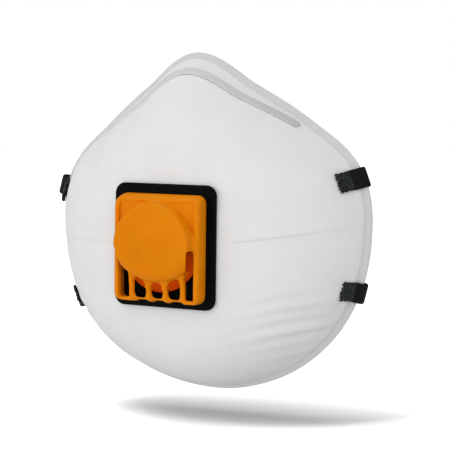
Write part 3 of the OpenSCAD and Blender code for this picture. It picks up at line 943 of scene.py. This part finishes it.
def lid_shell_field(x, z, h):
    """The cover without its skirt: a frame, a round pad and four ribs with windows between."""
    zc = z - LID_Z
    r = np.hypot(x, z)
    arc = ARC_R - np.hypot(x, z - ARC_Z)
    inner_rib, outer_rib = RIB_X
    lower_edge = LID_Z - LID_H / 2
    frame_body = raised(rectangle(x, zc, LID_W / 2, LID_H / 2, 3.2), h, -4, LID_RISE, 1.3)
    top_slope = ((z - 17.3) + (h - LID_RISE + 0.8)) / math.sqrt(2)
    frame_body = soft_max(frame_body, top_slope, 1.8)
    recess_top, recess_low = 17.1, lower_edge - 2
    recess = rectangle(x, z - (recess_top + recess_low) / 2, LID_W / 2 - 2.3,
                       (recess_top - recess_low) / 2, 1.6)
    frame_body = soft_max(frame_body, -raised(recess, h, RECESS_H, 14, 0.4), 0.6)
    # The pad leans in slightly towards its top edge
    pad = raised(r - PAD_R + 0.10 * (h - RECESS_H), h, -4, pad_top(x, z), 0.75)
    outside = soft_min(frame_body, pad, 0.6)
    # Ribs run down from the pad and over the lower edge
    rib_axis = np.minimum(np.abs(np.abs(x) - inner_rib), np.abs(np.abs(x) - outer_rib))
    rib = raised(np.maximum(rib_axis - RIB_W / 2, np.maximum(lower_edge - 0.2 - z, z + 8)),
                 h, -4, RIB_H + 0.5 * smooth_step(z, -17, -13), 0.75)
    lower_round = ((lower_edge + 1.2 - z) + (h - RIB_H + 1.2)) / math.sqrt(2) - 0.75
    rib = soft_max(rib, lower_round, 1.6)
    # Openings between the ribs, bounded above by the arc, and beside the outer ribs
    middle = soft_max(soft_max(arc, WINDOW_BOTTOM - z, 0.9), RIB_W / 2 - rib_axis, 2.6)
    middle = soft_max(middle, np.abs(x) - outer_rib, 0.4)
    slot_side = SLOT_SIDE + 0.6 * np.maximum(h - RIB_H, 0)
    low = soft_max(outer_rib + RIB_W / 2 - np.abs(x), arc, 0.8)
    high = soft_max(slot_side - np.abs(x), z - SLOT_TOP - 0.25 * (np.abs(x) - SLOT_SIDE), 0.8)
    within = soft_max(np.abs(x) - LID_W / 2 + 2.3, WINDOW_BOTTOM - z, 0.8)
    slots = soft_max(np.minimum(low, high), within, 0.8)
    # The sill between the ribs lies lower than they do and a little further in
    sill = np.maximum(np.abs(x) - outer_rib, z - WINDOW_BOTTOM - 0.3)
    sill_cut = np.maximum(sill, np.minimum(RIB_H - 1.0 - h, z - lower_edge - 0.75))
    outside = soft_max(outside, -sill_cut, 0.5)
    outside = soft_min(outside, rib, 0.6)
    hollow = soft_min(
        raised(rectangle(x, zc, LID_W / 2 - LID_WALL, LID_H / 2 - LID_WALL, 2), h, -6,
               RECESS_H - LID_WALL, 0.6),
        raised(r - PAD_R + LID_WALL, h, -6, pad_top(x, z) - LID_WALL, 0.6), 0.6)
    shell = soft_max(outside, -hollow, 0.35)
    shell = soft_max(shell, -np.minimum(middle, slots), 0.5)
    return soft_max(shell, -h, 0.2)


def skirt_field(x, z, h):
    """Slanted wall under the pad that turns the breath down to the openings."""
    middle = SKIRT_R - SKIRT_T / 2 - SKIRT_SLOPE * (h - SKIRT_LOW)
    cone = (np.abs(np.hypot(x, z) - middle) - SKIRT_T / 2) / math.hypot(1, SKIRT_SLOPE)
    above = np.maximum(h - pad_top(x, z) + LID_WALL / 2, h - RIB_H - 1.5)
    beside = np.maximum(above, np.abs(x) - LID_W / 2 + LID_WALL)
    return np.maximum(np.maximum(cone, SKIRT_LOW - h), beside)


def lid_field(x, z, h):
    return soft_min(lid_shell_field(x, z, h), skirt_field(x, z, h), 0.3)


def base_field(x, z, h):
    """The base: a plate, a neck through the cup, a seat ring, cross bars and a clamp bar."""
    r = np.hypot(x, z)
    plate = raised(rectangle(x, z - PLATE_Z, PLATE_W / 2, PLATE_H / 2, 4.2), h, -PLATE_T, 0, 0.45)
    neck = raised(r - PORT_R - NECK_WALL, h, -PLATE_T - NECK_LEN, -0.5, 0.3)
    seat = raised(np.abs(r - PORT_R - 0.75) - 0.75, h, -1, 1, 0.25)
    u, v = (x + z) / math.sqrt(2), (x - z) / math.sqrt(2)
    body = soft_max(soft_min(plate, neck, 0.4), PORT_R - r, 0.3)
    spokes = raised(np.minimum(np.abs(u), np.abs(v)) - 0.7, h, -1.5, 0, 0.2)
    hub = raised(r - 2, h, -1.5, 0, 0.2)
    bars = np.maximum(soft_min(spokes, hub, 0.5), r - PORT_R - 0.5)
    clamp = raised(rectangle(x, z - 13.7, 7, 1.1, 0.4), h, -1, 2.5, 0.35)
    return soft_min(soft_min(soft_min(body, bars, 0.3), seat, 0.3), clamp, 0.3)


def retainer_field(x, z, h):
    """Ring snapped onto the neck inside the cup, with finger notches round its rim."""
    r = np.hypot(x, z)
    turn = np.arctan2(z, x)
    notch = 0.45 * smooth_step(np.cos(12 * turn), 0.35, 0.8)
    outline = np.maximum(r - (SEAT_HALF - 1) + notch, 14.6 - r)
    back = -PLATE_T - CUP_T
    ring = raised(outline, h, back - 1.5, back, 0.35)
    lip = raised(np.abs(r - 15.4) - 0.7, h, back - 1.9, back - 0.5, 0.3)
    return soft_min(ring, lip, 0.4)


def build_valve():
    orange, black = lid_material(), base_material()
    reach_x, reach_z = LID_W / 2 + 1, LID_H / 2 + 1.6
    lid, middles = moulded("valve_lid", lid_field, (-reach_x, LID_Z - reach_z, -1),
                           (reach_x, LID_Z + reach_z, PAD_RISE + 1), 1, orange)
    x, z, h = middles.T
    # The skirt's faces get the darker orange, which is painted shade.
    lid.data.materials.append(skirt_painted_shade_material())
    skirt_painted_shade_faces = (skirt_field(x, z, h) < 0.15) & (lid_shell_field(x, z, h) > 0.1)
    lid.data.polygons.foreach_set("material_index", skirt_painted_shade_faces.astype(int))
    finish_piece(lid, "root", ("valve_cover",))
    base, _ = moulded("valve_plate", base_field, (-PLATE_W / 2 - 1, -PLATE_H / 2 - 1, -8),
                      (PLATE_W / 2 + 1, PLATE_H / 2 + 1, 4), 1, black)
    finish_piece(base, "root", ("valve_base",))
    ring, _ = moulded("valve_ring", retainer_field, (-20, -20, -8), (20, 20, -3.6), 0, black)
    finish_piece(ring, "root", ("valve_retainer",))
    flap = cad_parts["valve_flap"]
    silicone = flap_material()
    for slot in flap.material_slots:
        slot.material = silicone


# ---- Floor and light --------------------------------------------------------------------

FLOOR_Z = -71
FLOOR_SIZE = 6000
# Overhead lights for the floor's shadow, each by its tilt from the vertical and its strength.
# All are turned round the vertical by the same angle and are wide, so the shadow is soft.
OVERHEADS = ((-31, 1.4), (-21, 2.1), (-11, 1.4))
OVERHEAD_TURN = 66
OVERHEAD_ANGLE = 26
# The room's light rises evenly from behind the mask to the direction in which it is brightest.
# The back of the mask gets little of it and looks dark from behind.
SKY_LOW, SKY_HIGH = 0.12, 1.42
SKY_AIM = (-0.06, -0.97, 0.14)


def add_stage():
    s = Surface("floor_paper", grey(0.68), 0.9, Specular_IOR_Level=0.0)
    s.bump(s.noise(s.place(), 3, 2), 0.2)
    corners = [(x * FLOOR_SIZE, z * FLOOR_SIZE, FLOOR_Z)
               for x, z in ((-1, -1), (1, -1), (1, 1), (-1, 1))]
    floor = add_mesh("floor", corners, [(0, 1, 2, 3)], s.material)
    # The floor throws no light back up, so its shade doesn't change the cup's shading
    floor.visible_diffuse = False
    return floor


def add_light(floor):
    """Soft white room, brightest in front of the mask, and overhead lights for the floor alone."""
    scene = bpy.context.scene
    world = bpy.data.worlds.new("studio")
    scene.world = world
    world.use_nodes = True
    tree = world.node_tree
    backdrop = tree.nodes["Background"]
    where = tree.nodes.new("ShaderNodeTexCoord")
    towards = tree.nodes.new("ShaderNodeVectorMath")
    towards.operation = "DOT_PRODUCT"
    towards.inputs[1].default_value = Vector(SKY_AIM).normalized()
    level = tree.nodes.new("ShaderNodeMapRange")
    level.inputs["From Min"].default_value = -1
    level.inputs["To Min"].default_value = SKY_LOW
    level.inputs["To Max"].default_value = SKY_HIGH
    path = tree.nodes.new("ShaderNodeLightPath")
    seen = tree.nodes.new("ShaderNodeMix")
    seen.inputs["B"].default_value = 1.0
    tree.links.new(where.outputs["Generated"], towards.inputs[0])
    tree.links.new(towards.outputs["Value"], level.inputs["Value"])
    tree.links.new(level.outputs["Result"], seen.inputs["A"])
    tree.links.new(path.outputs["Is Camera Ray"], seen.inputs["Factor"])
    tree.links.new(seen.outputs["Result"], backdrop.inputs["Strength"])
    backdrop.inputs["Color"].default_value = (1, 1, 1, 1)
    floor_only = bpy.data.collections.new("floor_only")
    floor_only.objects.link(floor)
    for number, (tilt, strength) in enumerate(OVERHEADS):
        name = f"overhead_{number}"
        data = bpy.data.lights.new(name, "SUN")
        data.energy = strength
        data.angle = math.radians(OVERHEAD_ANGLE)
        sun = bpy.data.objects.new(name, data)
        sun.rotation_euler = (0, math.radians(tilt), math.radians(OVERHEAD_TURN))
        sun.light_linking.receiver_collection = floor_only
        scene.collection.objects.link(sun)
    scene.view_settings.view_transform = "Standard"


add_camera()
build_straps()
build_cup()
build_nose_clip(clip_material())
build_nose_foam(foam_material())
build_valve()
add_light(add_stage())
